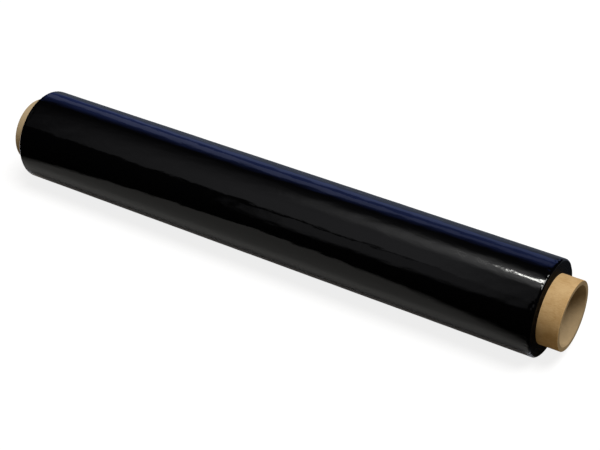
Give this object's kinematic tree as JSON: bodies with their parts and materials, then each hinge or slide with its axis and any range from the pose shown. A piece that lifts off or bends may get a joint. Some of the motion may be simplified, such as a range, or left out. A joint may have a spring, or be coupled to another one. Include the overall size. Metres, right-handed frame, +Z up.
{
  "type": "stretch wrap roll",
  "caption": "Roll of black stretch film wound on a cardboard core that stands out at both ends, lying on its side.",
  "frame": {"origin": "on the surface that the roll lies on, under the middle of the core tube", "axes": "+X along the roll, towards the longer core stub; +Y across it; +Z up from the flat spot"},
  "size_m": [0.532, 0.081, 0.0806],
  "materials": {
    "core_paper": "matt kraft paper, spiral wound",
    "black_film": "glossy black stretch film"
  },
  "bodies": {
    "root": {"core_tube": "core_paper", "film_roll": "black_film"}
  },
  "joints": []
}
